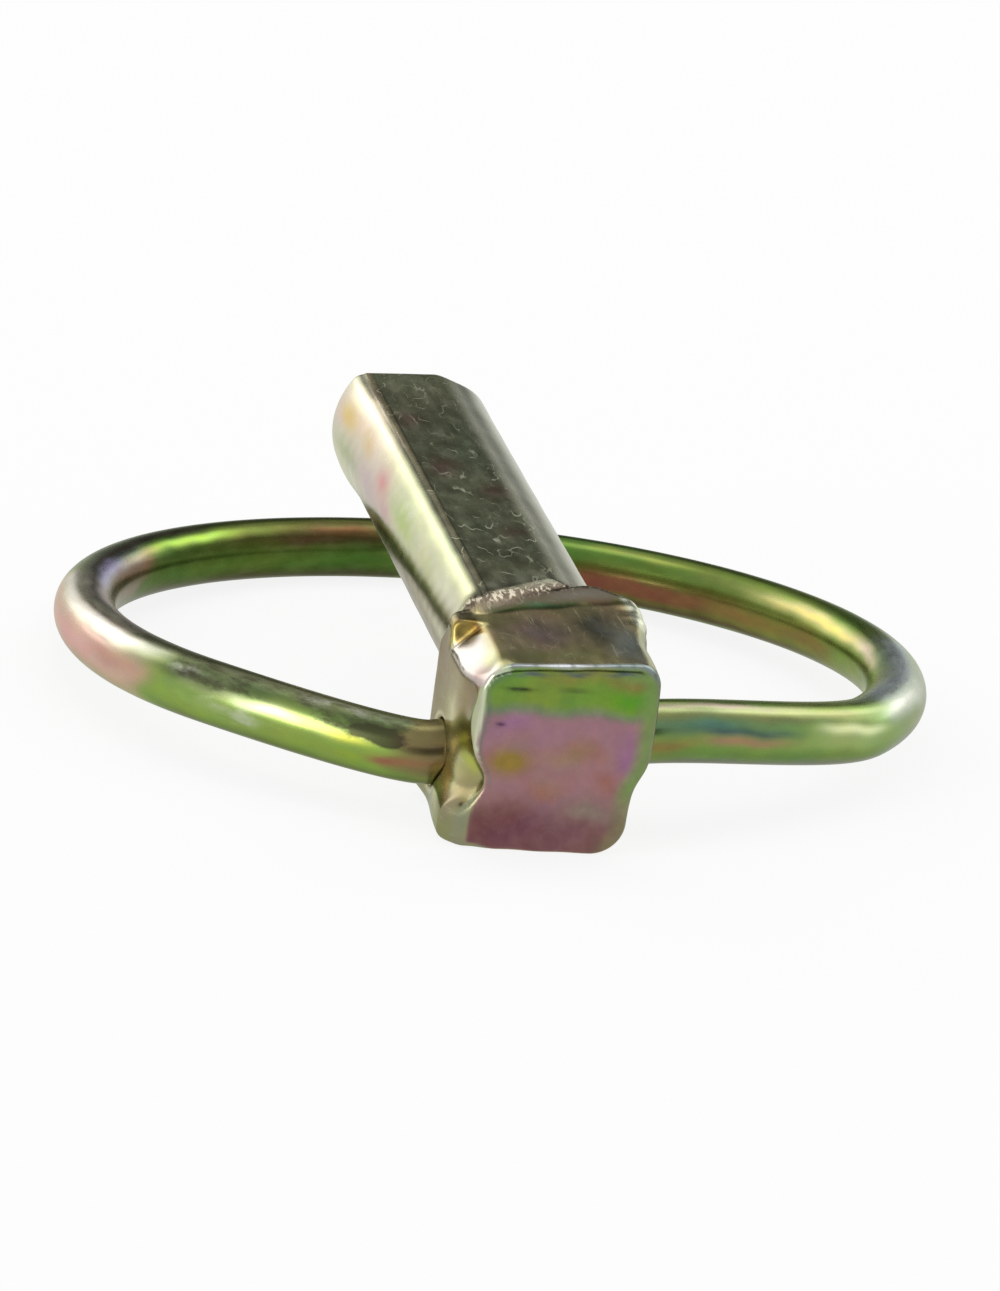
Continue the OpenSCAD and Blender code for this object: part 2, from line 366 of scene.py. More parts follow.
laid_patches(film_and_painted_light, end_face, [
    ("#2c361c", pin_points, (-2.95, -11, 1.4), (0.75, DEEP, 0.13), 1.3),
    ("#3c4820", pin_points, (0.5, -11, 1.5), (0.8, DEEP, 0.11), 0.9),
    ("#4a2c50", pin_points, (-3.8, -11, -0.85), (0.3, DEEP, 0.14), 1)])

# the head's left side: straw and olive, with a yellow-green waist painted brighter than its film,
# as painted light where the dent faces down
lay(film_and_painted_light, "#928267", on_side)
laid_patches(film_and_painted_light, on_side, [
    ("#a18e74", spots, (-5.7, -6, 0.0), (DEEP, 4.0, 1.3), 1),
    ("#a39a6c", spots, (-5.7, -6, -2.6), (DEEP, 3.0, 1.2), 1),
    ("#cfcb9a", spots, (-5.7, -6.6, -2.8), (DEEP, 1.6, 2.4), 1),
    # yellow-green at the waist, lightened as painted light
    ("#a8b45a", pin_points, (-5.2, -9.3, -3.2), (DEEP, 1.3, 1.7), 1.2)])
lay(film_and_painted_light, "#84865f", on_side * ease(-wz, 5.0, 6.4))
laid_patches(film_and_painted_light, on_side, [
    ("#8c8060", spots, (-5.4, -9.6, -5.6), (DEEP, 1.6, 0.8), 1),
    ("#8d7668", spots, (-5.4, -8.9, -6.8), (DEEP, 1.2, 0.9), 0.8),
    ("#8a9a4c", spots, (-6.2, -8.0, -8.0), (DEEP, 1.0, 0.8), 0.8),
    ("#87906a", spots, (-6.2, -4.5, -8.6), (DEEP, 2.6, 1.6), 1),
    # painted highlight: a pale strip beside the mouth of the hole
    ("#efe9cc", spots, (-5.6, -6.5, -3.9), (DEEP, 0.8, 2.0), 1.2),
    # pale yellow-green, lightened as painted light where the wire's shadow falls below the hole
    ("#dcdfa6", spots, (-5.8, -7.0, -6.0), (DEEP, 1.4, 1.5), 1.2)])
# a painted highlight in a pale line round the mouth of the hole, and a small dark spot of painted
# shade below it
slant = (px - HOLE[0]) * math.sin(HOLE_SLOPE) - (pz - HOLE[2]) * math.cos(HOLE_SLOPE)
hole_edge = np.hypot(slant, py - HOLE[1]) - HOLE_R - 0.05 * np.sin(3.1 * pz)
lay(film_and_painted_light, "#d2ccaa", swell(hole_edge, 0.28, 0.16) * ease(-px, 3.9, 4.6))
lay(film_and_painted_light, "#2c2420", on_side * patch(pin_points, (-5.4, -10.2, -6.3), (DEEP, 0.16, 0.14)))
# the lip round the end face is paler on the left; along the top rim lies a painted highlight,
# broken in places, with a thin painted dark reflection under it
lip_left = ease(-px, 3.4, 3.8) * ease(pz, -5.4, -4.2)
lay(film_and_painted_light, "#aeb492", lip * lip_left)
lay(film_and_painted_light, "#c3cbae", end_face * (1 - ease(inner, 0.7, 0.95)) * ease(-px, 3.4, 3.8)
    * ease(pz, -3.9, -2.2))
lay(film_and_painted_light, "#5f7060", end_face * swell(inner, 1.25, 0.3) * lip_left * 0.6)
lay(film_and_painted_light, "#86866a", lip * ease(-px, 3.4, 3.8) * ease(-pz, 4.8, 5.8))
lay(film_and_painted_light, "#85835f", lip * ease(-px, 3.0, 3.4) * swell(pz, -4.3, 1.5) * 0.8)
lay(film_and_painted_light, "#707b60", lip * ease(px, 3.6, 4.4))
# painted highlight along the top rim, grey at the left and brightest in the middle
lay(film_and_painted_light, "#7d8285", lip * ease(pz, 2.2, 2.6) * ease(px, -4.0, -3.4))
lay(film_and_painted_light, "#b4b6b8", lip * patch(spots, (-0.6, -10.8, 2.8), (1.7, DEEP, 0.8)))
# painted dark reflection: a thin blue-grey line just under the top rim
lay(film_and_painted_light, "#4c565c", end_face * swell(height + 0.06 * np.sin(3.3 * px), 2.5, 0.15)
    * ease(px, -4.2, -3.4) * (0.6 + 0.4 * np.sin(2.3 * px + 0.7)))
# the painted rim highlight dims towards the right
lay(film_and_painted_light, "#75827c", lip * patch(spots, (3.6, -10.8, 2.8), (1.6, DEEP, 0.8)))
# dark gaps painted into the rim's highlight
rim_highlight_gaps = ease(np.sin(5.1 * px + 0.4) + np.sin(8.7 * px + 1.0), 0.6, 1.5)
lay(film_and_painted_light, "#4e5552", lip * rim_highlight_gaps * ease(pz, 2.0, 2.4) * 0.55)
# the chamfer is painted almost white as its highlight, with patches of straw and rose; the fold
# behind it keeps the film's gold, darkened as painted shade, and a pale gold painted highlight
# runs up the side beside it
lay(film_and_painted_light, "#c8c1bc", on_chamfer)
laid_patches(film_and_painted_light, on_chamfer, [
    ("#c9c69c", spots, (-4.1, -8.8, 2.6), (0.7, 1.6, 0.7), 1),
    ("#b99f9b", spots, (-5.0, -9.6, 1.8), (0.7, 1.2, 0.7), 0.9)])
fold_line = py + 0.94 * px + 8.7 + 0.15 * np.sin(3.1 * px)
in_fold = (ease(fold_line, -0.1, 0.15) * ease(pz - px, 6.3, 6.6) * ease(-px, 3.6, 4.0)
           * (1 - ease(py, -3.2, -2.7)))
# painted shade in the fold: dark gold, deepest at its wall and along its edge
lay(film_and_painted_light, "#7f6a3a", in_fold)
lay(film_and_painted_light, "#a08a52", in_fold * patch(spots, (-5.0, -3.5, 1.9), (0.5, 0.5, 0.5)))
lay(film_and_painted_light, "#563c22", in_fold * ease(py, -3.25, -2.95))
lay(film_and_painted_light, "#6d4a2c", in_fold * patch(spots, (-3.9, -3.6, 2.7), (0.4, 0.6, 0.6)))
lay(film_and_painted_light, "#5b4d1d", in_fold * swell(fold_line, 0.3, 0.14) * ease(-px, 4.6, 5.0) * 0.8)
# painted highlight: a pale gold line up the side beside the fold
lay(film_and_painted_light, "#cfc27c", swell(px, -5.75, 0.2) * swell(py, -3.6, 0.8) * ease(pz, 0.8, 1.4) * 0.8)

# the head's top, and the step between it and the flat, brown with a green line along its foot
lay(film_and_painted_light, "#bfae86", on_top)
laid_patches(film_and_painted_light, on_top, [
    ("#a08a98", spots, (-0.8, -5.6, 3), (1.8, 2.4, DEEP), 0.7),
    ("#6f6c60", spots, (2.8, -4.5, 3), (1.0, 2.8, DEEP), 1.3),
    ("#a9ac78", spots, (-0.8, -9.4, 3), (3.2, 0.9, DEEP), 0.8),
    ("#aab3b2", spots, (4.2, -7.5, 3), (1.1, 3.2, DEEP), 0.9),
    ("#b6b07c", spots, (-3.6, -3.4, 3), (1.2, 1.2, DEEP), 1)])
before = py + 1.1 - 0.2 * px + 0.12 * np.sin(1.9 * px)
on_step = ease(height, 2.6, 2.85) * ease(before, -0.5, 0.2) * (1 - on_shank) * ease(px, -5.6, -5.2)
lay(film_and_painted_light, "#6a6252", on_step)
laid_patches(film_and_painted_light, on_step, [
    ("#a09672", spots, (-4.9, -1.7, 3), (0.9, 0.6, DEEP), 1),
    ("#75736c", spots, (2.7, 1.0, 3), (1.8, 0.8, DEEP), 0.8)])
lay(film_and_painted_light, "#4d5a34", on_step * swell(before, 0.15, 0.5) * ease(px, -4, -2) * (1 - ease(px, 2, 3)))
laid_patches(film_and_painted_light, on_step, [
    ("#4f7350", spots, (0.3, -0.8, 3), (0.9, 0.4, DEEP), 0.9),
    ("#756049", spots, (4.2, -0.4, 3), (1.0, 0.6, DEEP), 1),
    ("#6d7a3c", spots, (5.3, -0.5, 3), (0.6, 0.6, DEEP), 1),
    ("#a59c62", pin_points, (2.9, -0.4, 3), (0.35, 0.3, DEEP), 0.8)])

# the flat: a dark olive with four rose stains, a brown left edge and a pale right one
lay(film_and_painted_light, "#868a6f", on_flat)
lay(film_and_painted_light, "#969a7e", on_flat * ease(py, 33, 38))
for across, along, reach in ((-2.4, 31.8, 1.6), (-1.6, 22.9, 1.8),
                             (0.8, 18.3, 1.4), (0.4, 10.5, 1.0)):
    lay(film_and_painted_light, "#8c5f5f", on_flat * patch(spots, (across, along, 3.6), (0.9, reach, DEEP)) * 0.7)
lay(film_and_painted_light, "#7f8a76", on_flat * patch(spots, (1.2, 27, 3.6), (1.2, 6, DEEP)) * 0.6)
lay(film_and_painted_light, "#a6a89f", on_flat * ease(px, 1.6, 2.9))
lay(film_and_painted_light, "#b0a184", on_flat * ease(-px, 3.0, 3.2))
lay(film_and_painted_light, "#787c64", on_flat * patch(spots, (0.0, 7.5, 3.6), (3.0, 3.0, DEEP)) * 0.7)
lay(film_and_painted_light, "#a5a694", on_flat * swell(past_burrs, 1.3, 0.9) * 0.7)

# the round of the shank, painted cream on its left as part of its highlight, and less pale higher
# up where the lamp's own highlight lies
lay(film_and_painted_light, "#e4e2cd", round_left)
lay(film_and_painted_light, "#cdd0aa", round_left * ease(pz, 1.6, 2.8))
laid_patches(film_and_painted_light, round_left, [
    ("#f3e0cd", spots, (-4.3, 33, 2.6), (2.0, 6.5, 1.5), 1),
    ("#ecd9e0", spots, (-4.5, 40.0, 1.6), (2.0, 1.8, 1.5), 0.8),
    ("#e6c48c", pin_points, (-4.7, 37.6, 1.6), (1.5, 2.4, 0.8), 1),
    ("#e8cc9a", spots, (-4.6, 31.6, 1.9), (1.5, 1.6, 0.7), 0.8),
    ("#b6c19a", spots, (-5, 35.5, -0.2), (1.2, 4.0, 0.9), 1),
    ("#d3bcc6", spots, (-5, 28.5, 0.1), (1.5, 4.5, 1.3), 1),
    ("#d8a8c0", spots, (-5, 23.0, 0.6), (1.5, 2.4, 0.8), 0.8),
    ("#e3a2ae", pin_points, (-4.8, 25.2, 1.4), (1.5, 1.9, 0.8), 1),
    ("#c2d08e", spots, (-4.7, 18, 1.5), (1.5, 4.5, 0.8), 1),
    ("#c9d0a0", spots, (-4.7, 10, 1.6), (1.5, 3.0, 0.8), 0.8)])
lay(film_and_painted_light, "#8d8468", round_left * ease(-pz, 0.1, 1.2) * (1 - ease(py, 23, 27)))
mark = swell(wz + 1.3 - 0.088 * (27.5 - py), 0, 0.75) * (1 - ease(py, 23, 28)) * round_left
lay(film_and_painted_light, "#8f8466", mark * 0.9)
lay(film_and_painted_light, "#c9cac6", round_right)
lay(film_and_painted_light, "#8d8f86", round_right * ease(pz, 2.4, 3.1))
laid_patches(film_and_painted_light, round_right, [
    ("#c3c9a4", spots, (5, 9, -1.5), (4, 5.0, 2.4), 1),
    ("#d2b9b4", spots, (5, 21, -2.4), (4, 5.5, 2.0), 1),
    ("#d8cfa2", spots, (4, 33, -2.8), (5, 5.0, 2.6), 1)])
# the tip's end; the crumpled right shoulder, with a painted highlight and painted shade in a notch;
# and the dark ground between the burrs
shank_end = ease(py, 40.95, 41.2)
lay(film_and_painted_light, "#bdbd9c", shank_end)
laid_patches(film_and_painted_light, shank_end, [
    ("#b39a94", spots, (-0.6, 41, -1.2), (2.2, DEEP, 1.8), 0.8),
    ("#93a565", spots, (1.6, 41, 2.0), (2.4, DEEP, 1.0), 0.8)])
crumpled = ease(px, 5.1, 5.6) * ease(pz, 0.9, 1.5) * ease(py, -4.4, -3.6) * (1 - on_shank)
# painted highlight on the crumpled shoulder
lay(film_and_painted_light, "#e2e6cf", crumpled)
lay(film_and_painted_light, "#8d9494", ease(px, 5.1, 5.6) * patch(spots, (5.8, -6.5, 2.0), (DEEP, 1.8, 1.2)))
# painted shade in a small notch of the shoulder, with a paler spot below it
lay(film_and_painted_light, "#48502f", patch(pin_points, (6.2, -1.8, 2.0), (0.5, 0.35, 0.3)))
lay(film_and_painted_light, "#98a06a", patch(pin_points, (6.0, -2.2, 1.5), (0.5, 0.3, 0.3)))
at_burrs = ease(height, 2.5, 2.8) * (1 - ease(px, 3.4, 4.2)) * ease(px, -5.4, -5.0)
lay(film_and_painted_light, "#655a4e", at_burrs * swell(past_burrs, -0.15, 0.8))

# what has settled or rubbed on the plating: grime, curved and straight scratches, a dull whitish
# bloom, and where the die's lines and the burrs are; the dark line along the crease on the head's
# left side is painted shade
crease = pz - (6.72 - left) - 0.04 * np.sin(2.2 * py)
grime_and_painted_shade = 0.2 * mark + 0.1 * on_side + 0.04 * on_top
grime_and_painted_shade += 0.08 * round_left * ease(-pz, 0.1, 1.2) * (1 - ease(py, 23, 27))
# painted shade: a thin dark line along the crease where the chamfered corner meets the left side
grime_and_painted_shade += 0.55 * swell(crease, 0, 0.1) * on_side * (1 - ease(py, -3.8, -3.4)) * ease(py, -9, -5)
scratched = on_flat * (0.65 + 0.35 * swell(py, 13, 8))
scratched += 0.2 * on_top + 0.2 * on_side
scored = 0.1 * on_flat + 0.5 * on_top * (1 - on_step)
dulled = 0.22 * on_flat + 0.08 * end_face
lined = on_shank * swell(px, -3.15, 0.34) * ease(pz, 3.1, 3.3) * (1 - 0.6 * ease(py, 34, 40))
burred = swell(past_burrs, -0.05, 0.65) * at_burrs * (0.9 + 0.1 * np.sin(2.2 * px + 0.5))
for name, values in (("film_and_painted_light", film_and_painted_light), ("grime_and_painted_shade", np.clip(grime_and_painted_shade, 0, 1.2)),
                     ("scratched", scratched), ("scored", scored), ("dulled", dulled),
                     ("lined", lined), ("burred", burred), ("drawn", pin_points)):
    kept_on(forged.data, name, values)


def passivated_zinc(name, grain, stretch, texture, gloss):
    """Yellow-passivated zinc plate: a thin chromate film over bright zinc gives bands of
    interference colour, straw to green, and the metal's own satin gloss shows through it. Bar and
    wire are drawn through dies, so their fine marks are longer along y of where they were drawn."""
    material = bpy.data.materials.new(name)
    material.use_nodes = True
    tree = material.node_tree
    tree.nodes.clear()
    drawn = put(tree, "ShaderNodeAttribute", attribute_name="drawn").outputs["Vector"]
    mm = put(tree, "ShaderNodeMapping", {"Vector": drawn, "Scale": (1.0, 0.45, 1.0)})
    film_and_painted_light, grime_and_painted_shade, scratched, scored, dulled, lined, burred = (
        put(tree, "ShaderNodeAttribute", attribute_name=kept)
        for kept in ("film_and_painted_light", "grime_and_painted_shade", "scratched", "scored", "dulled", "lined", "burred"))

    # the film drifts in hue over 3 mm across the pin and 7 mm along it, and is cloudy at 1 to 2 mm
    cloud = put(tree, "ShaderNodeTexNoise", {"Vector": mm, "Scale": 0.33, "Detail": 3.0})
    mottle = put(tree, "ShaderNodeTexNoise", {"Vector": mm, "Scale": 1.1, "Detail": 4.0,
                                              "Roughness": 0.6})
    hue = put(tree, "ShaderNodeMapRange", {0: cloud, 1: 0.3, 2: 0.7, 3: 0.475, 4: 0.525})
    depth = put(tree, "ShaderNodeMapRange", {0: mottle, 1: 0.3, 2: 0.7, 3: 0.9, 4: 1.1})
    shade = put(tree, "ShaderNodeMapRange", {0: mottle, 1: 0.3, 2: 0.7, 3: 0.95, 4: 1.05})
    drifted = put(tree, "ShaderNodeHueSaturation",
                  {"Hue": hue, "Saturation": depth, "Value": shade, "Color": film_and_painted_light})

    # curved scratches, 0.1 mm wide, follow a level line of one noise and are cut short by another;
    # straight ones run aslant the pin
    swirl = put(tree, "ShaderNodeTexNoise", {"Vector": mm, "Scale": 0.95, "Detail": 1.5})
    level = put(tree, "ShaderNodeMath", {0: swirl, 1: 0.5}, operation="SUBTRACT")
    level = put(tree, "ShaderNodeMath", {0: level}, operation="ABSOLUTE")
    curved = put(tree, "ShaderNodeMapRange", {0: level, 1: 0.004, 2: 0.024, 3: 1.0, 4: 0.0})
    cut = put(tree, "ShaderNodeTexNoise", {"Vector": mm, "Scale": 1.3, "Detail": 1.0})
    cut = put(tree, "ShaderNodeMapRange", {0: cut, 1: 0.46, 2: 0.64})
    curved = put(tree, "ShaderNodeMath", {0: curved, 1: cut}, operation="MULTIPLY")
    curved = put(tree, "ShaderNodeMath", {0: curved, 1: scratched.outputs["Fac"]},
                 operation="MULTIPLY")
    aslant = put(tree, "ShaderNodeMapping",
                 {"Vector": drawn, "Rotation": (0, 0, math.radians(-20)), "Scale": (4.0, 0.3, 1.0)})
    straight = put(tree, "ShaderNodeTexNoise", {"Vector": aslant, "Scale": 1.0, "Detail": 2.0})
    straight = put(tree, "ShaderNodeMapRange", {0: straight, 1: 0.65, 2: 0.78})
    straight = put(tree, "ShaderNodeMath", {0: straight, 1: scored.outputs["Fac"]},
                   operation="MULTIPLY")
    scratch = put(tree, "ShaderNodeMath", {0: curved, 1: straight}, operation="MAXIMUM")
    share = put(tree, "ShaderNodeMath", {0: scratch, 1: 0.55}, operation="MULTIPLY")
    colour = put(tree, "ShaderNodeMix", {0: share, 6: drifted, 7: tint("#e0ddc6")},
                 data_type="RGBA")

    # a whitish bloom lies in soft patches, and grime and the crease's painted shade in 0.6 mm
    # blotches with broken edges
    bloom = put(tree, "ShaderNodeMapRange", {0: mottle, 1: 0.4, 2: 0.65})
    bloom = put(tree, "ShaderNodeMath", {0: bloom, 1: dulled.outputs["Fac"]}, operation="MULTIPLY")
    share = put(tree, "ShaderNodeMath", {0: bloom, 1: 0.75}, operation="MULTIPLY")
    colour = put(tree, "ShaderNodeMix", {0: share, 6: colour, 7: tint("#c3c6b8")},
                 data_type="RGBA")
    speck = put(tree, "ShaderNodeTexNoise", {"Vector": mm, "Scale": 1.6, "Detail": 5.0,
                                             "Roughness": 0.65})
    dark_blotches = put(tree, "ShaderNodeMath", {0: grime_and_painted_shade.outputs["Fac"], 1: speck}, operation="ADD")
    dark_blotches = put(tree, "ShaderNodeMapRange", {0: dark_blotches, 1: 0.82, 2: 1.12})
    share = put(tree, "ShaderNodeMath", {0: dark_blotches, 1: 0.85}, operation="MULTIPLY")
    colour = put(tree, "ShaderNodeMix", {0: share, 6: colour, 7: tint("#39342a")},
                 data_type="RGBA")

    # the edge of the die drew dark lines along the flat, 0.45 mm apart
    traced = put(tree, "ShaderNodeTexWave", {"Vector": drawn, "Scale": 0.7, "Distortion": 0.5,
                                             "Detail": 2.0, "Detail Scale": 0.6,
                                             "Phase Offset": 4.3})
    traced = put(tree, "ShaderNodeMapRange", {0: traced.outputs["Fac"], 1: 0.06, 2: 0.26, 3: 0.75,
                                              4: 0.0})
    share = put(tree, "ShaderNodeMath", {0: traced, 1: lined.outputs["Fac"]},
                operation="MULTIPLY")
    colour = put(tree, "ShaderNodeMix", {0: share, 6: colour, 7: tint("#3d3a2b")},
                 data_type="RGBA")

    # burrs lean across the pin about 0.4 mm apart, with a painted highlight on top and painted
    # shade between
    leaning = put(tree, "ShaderNodeMapping", {"Vector": drawn, "Location": (0.9, 0.3, 0),
                                              "Rotation": (0, 0, math.radians(-30)),
                                              "Scale": (1.0, 0.5, 1.0)})
    ridges = put(tree, "ShaderNodeTexNoise", {"Vector": leaning, "Scale": 2.5, "Detail": 2.0,
                                              "Distortion": 1.2})
    ridges = put(tree, "ShaderNodeMapRange", {0: ridges, 1: 0.43, 2: 0.6})
    between = put(tree, "ShaderNodeMath", {0: 1.0, 1: ridges}, operation="SUBTRACT")
    between = put(tree, "ShaderNodeMath", {0: between, 1: burred.outputs["Fac"]},
                  operation="MULTIPLY")
    between = put(tree, "ShaderNodeMath", {0: between, 1: 0.65}, operation="MULTIPLY")
    colour = put(tree, "ShaderNodeMix", {0: between, 6: colour, 7: tint("#564a40")},
                 data_type="RGBA")
    ridge = put(tree, "ShaderNodeMath", {0: ridges, 1: burred.outputs["Fac"]},
                operation="MULTIPLY")
    share = put(tree, "ShaderNodeMapRange", {0: ridge, 1: 0.35, 2: 0.8, 3: 0.0, 4: 0.5})
    colour = put(tree, "ShaderNodeMix", {0: share, 6: colour, 7: tint("#d6cdb8")},
                 data_type="RGBA")

    # the metal's grain is 0.8 mm across on the forging and 0.3 mm on the wire, and longer along it;
    # scratches and bloom are duller, and the relief is below 0.06 mm
    lie = put(tree, "ShaderNodeMapping", {"Vector": drawn, "Scale": (1.0, stretch, 1.0)})
    fine = put(tree, "ShaderNodeTexNoise", {"Vector": lie, "Scale": grain, "Detail": 2.0})
    worn = put(tree, "ShaderNodeMath", {0: scratch, 1: bloom}, operation="MAXIMUM")
    rough = put(tree, "ShaderNodeMapRange", {0: fine, 1: 0.3, 2: 0.7, 3: gloss - 0.02,
                                             4: gloss + 0.04})
    rough = put(tree, "ShaderNodeMath", {0: worn, 1: 0.16, 2: rough}, operation="MULTIPLY_ADD")
    height = put(tree, "ShaderNodeMath", {0: fine, 1: texture}, operation="MULTIPLY")
    height = put(tree, "ShaderNodeMath", {0: ridge, 1: 1.5, 2: height}, operation="MULTIPLY_ADD")
    height = put(tree, "ShaderNodeMath", {0: scratch, 1: -0.5, 2: height},
                 operation="MULTIPLY_ADD")
    height = put(tree, "ShaderNodeMath", {0: dark_blotches, 1: -0.4, 2: height}, operation="MULTIPLY_ADD")
    bump = put(tree, "ShaderNodeBump", {"Height": height, "Strength": 0.3, "Distance": 0.00006})
    shader = put(tree, "ShaderNodeBsdfPrincipled",
                 {"Base Color": colour, "Metallic": 1.0, "Roughness": rough,
                  "Specular Tint": tint("#dcdcd0"), "Normal": bump})
    put(tree, "ShaderNodeOutputMaterial", {"Surface": shader})
    return material


forging_finish = passivated_zinc("yellow_passivated_zinc_on_forging", 1.2, 0.35, 0.03, 0.24)
forged.data.materials.append(forging_finish)
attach(forged, "pin")
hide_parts("forged_pin")


# ---- Spring ring -----------------------------------------------------------------------------
# One length of round spring wire, bent to an open ring. Its two ends turn inwards and out of the
# ring's plane to meet in the head's sloping cross hole, where they turn.

WIRE_R = 1.944         # mm
END_R = 1.91           # the ends are dressed down to this,
DRESSED_LEN = 9.0      # over this length
WIRE_SIDES = 64
RING_R = 25.6
RING_REACH = 23.6      # from the hinge to the ring's middle
RING_SHIFT = 2.2       # the ring sits to one side of the pin
RING_SAG = 0.1         # and this far below the hinge
LEG_START = math.radians(126)  # where the legs leave the circle, from its far point
END_REACH = 6.2        # from the pin's middle to where the ends begin to bend
END_GAP = 1.2          # between the two ends inside the head
LEG_PULL = (4.6, 5.0)  # how far the left and the right bend run on as the circle does,
END_PULL = (1.9, 4.2)  # and as the hole does


def wire_route(axis):
    """The wire's middle line in the ring's own frame, from the left end to the right; the ends lie
    on the hinge's axis."""
    def leg(side):
        start = np.array([side * RING_R * math.sin(LEG_START) + RING_SHIFT,
                          RING_REACH + RING_R * math.cos(LEG_START), -RING_SAG])
        way = np.array([side * math.cos(LEG_START), -math.sin(LEG_START), 0])
        out = side * axis
        hand = 0 if side < 0 else 1
        p = [start, start + LEG_PULL[hand] * way, out * (END_REACH + END_PULL[hand]),
             out * END_REACH]
        t = np.linspace(0, 1, 49)[1:, None]
        bend = ((1 - t) ** 3 * p[0] + 3 * t * (1 - t) ** 2 * p[1]
                + 3 * t * t * (1 - t) * p[2] + t ** 3 * p[3])
        end = np.linspace(END_REACH, END_GAP / 2, 19)[1:, None] * out
        return np.concatenate([bend, end])
    turn = np.linspace(-LEG_START, LEG_START, 301)
    arc = np.stack([RING_SHIFT + RING_R * np.sin(turn), RING_REACH + RING_R * np.cos(turn),
                    np.full(len(turn), -RING_SAG)], axis=1)
    return np.concatenate([leg(-1)[::-1], arc, leg(1)])


# the ring turns down about the hinge until its far side lies on the table
hinge_height = hinge["pos_m"][2] * 1000
ring_far = RING_REACH + RING_R
ring_fall = (math.asin((hinge_height - WIRE_R) / math.hypot(ring_far, RING_SAG))
             - math.atan(RING_SAG / ring_far))
ring_turn = Matrix.Rotation(-ring_fall, 3, "X")
ring_place = ring_turn.to_4x4()
ring_place.translation = Vector(hinge["pos_m"])
end_axis = np.array(ring_turn.inverted() @ Vector(hinge["axis"]).normalized())
route = wire_route(end_axis)

line = bpy.data.curves.new("wire_line", "CURVE")
line.dimensions = "3D"
spline = line.splines.new("POLY")
spline.points.add(len(route) - 1)
spline.points.foreach_set("co", np.c_[route, np.ones(len(route))].astype(np.float32).ravel())

# a round section is swept along that line, thinner near both ends, and each point keeps its
# distance along the wire and the middle of its section
wire_finish = passivated_zinc("yellow_passivated_zinc_on_drawn_wire", 3.2, 0.12, 0.14, 0.26)
tree = bpy.data.node_groups.new("drawn_wire", "GeometryNodeTree")
tree.interface.new_socket("Line", in_out="INPUT", socket_type="NodeSocketGeometry")
inputs = {}
for name, kind, value in (("Wire radius", "Float", WIRE_R), ("End radius", "Float", END_R),
                          ("Dressed length", "Float", DRESSED_LEN), ("Sides", "Int", WIRE_SIDES),
                          ("Finish", "Material", wire_finish)):
    socket = tree.interface.new_socket(name, in_out="INPUT", socket_type="NodeSocket" + kind)
    inputs[socket.identifier] = value
tree.interface.new_socket("Wire", in_out="OUTPUT", socket_type="NodeSocketGeometry")
given = put(tree, "NodeGroupInput")
run = put(tree, "GeometryNodeSplineParameter")
whole = put(tree, "GeometryNodeSplineLength")
left_over = put(tree, "ShaderNodeMath", {0: whole.outputs["Length"], 1: run.outputs["Length"]},
                operation="SUBTRACT")
nearer = put(tree, "ShaderNodeMath", {0: run.outputs["Length"], 1: left_over.outputs[0]},
             operation="MINIMUM")
bare = put(tree, "ShaderNodeMapRange",
           {0: nearer.outputs[0], 1: 0.0, 2: given.outputs["Dressed length"],
            3: given.outputs["End radius"], 4: given.outputs["Wire radius"]},
           interpolation_type="SMOOTHERSTEP")
noted = put(tree, "GeometryNodeStoreNamedAttribute",
            {"Geometry": given.outputs["Line"], "Name": "along", "Value": run.outputs["Length"]},
            data_type="FLOAT", domain="POINT")
middle = put(tree, "GeometryNodeStoreNamedAttribute",
             {"Geometry": noted.outputs[0], "Name": "middle",
              "Value": put(tree, "GeometryNodeInputPosition").outputs[0]},
             data_type="FLOAT_VECTOR", domain="POINT")
ring_section = put(tree, "GeometryNodeCurvePrimitiveCircle",
                   {"Resolution": given.outputs["Sides"], "Radius": 1.0})
swept = put(tree, "GeometryNodeCurveToMesh",
            {"Curve": middle.outputs[0], "Profile Curve": ring_section.outputs["Curve"],
             "Scale": bare.outputs[0], "Fill Caps": True})
smooth = put(tree, "GeometryNodeSetShadeSmooth", {"Geometry": swept.outputs[0]})
real = put(tree, "GeometryNodeRealizeInstances", {"Geometry": smooth.outputs[0]})
dressed = put(tree, "GeometryNodeSetMaterial",
              {"Geometry": real.outputs[0], "Material": given.outputs["Finish"]})
put(tree, "NodeGroupOutput", {"Wire": dressed.outputs[0]})

draft = bpy.data.objects.new("wire_draft", line)
bpy.context.scene.collection.objects.link(draft)
sweep = draft.modifiers.new("drawn_wire", "NODES")
sweep.node_group = tree
for identifier, value in inputs.items():
    sweep[identifier] = value
swept_draft = draft.evaluated_get(bpy.context.evaluated_depsgraph_get())
wire_mesh = bpy.data.meshes.new_from_object(swept_draft)
bpy.data.objects.remove(draft)

wire_mesh.name = "spring_ring_dressed"
count = len(wire_mesh.vertices)
wire_points, middles, along = np.zeros(count * 3), np.zeros(count * 3), np.zeros(count)
wire_mesh.vertices.foreach_get("co", wire_points)
wire_mesh.attributes["middle"].data.foreach_get("vector", middles)
wire_mesh.attributes["along"].data.foreach_get("value", along)
wire_points, middles = wire_points.reshape(-1, 3), middles.reshape(-1, 3)
along -= along.max() / 2                                   # from the ring's far point
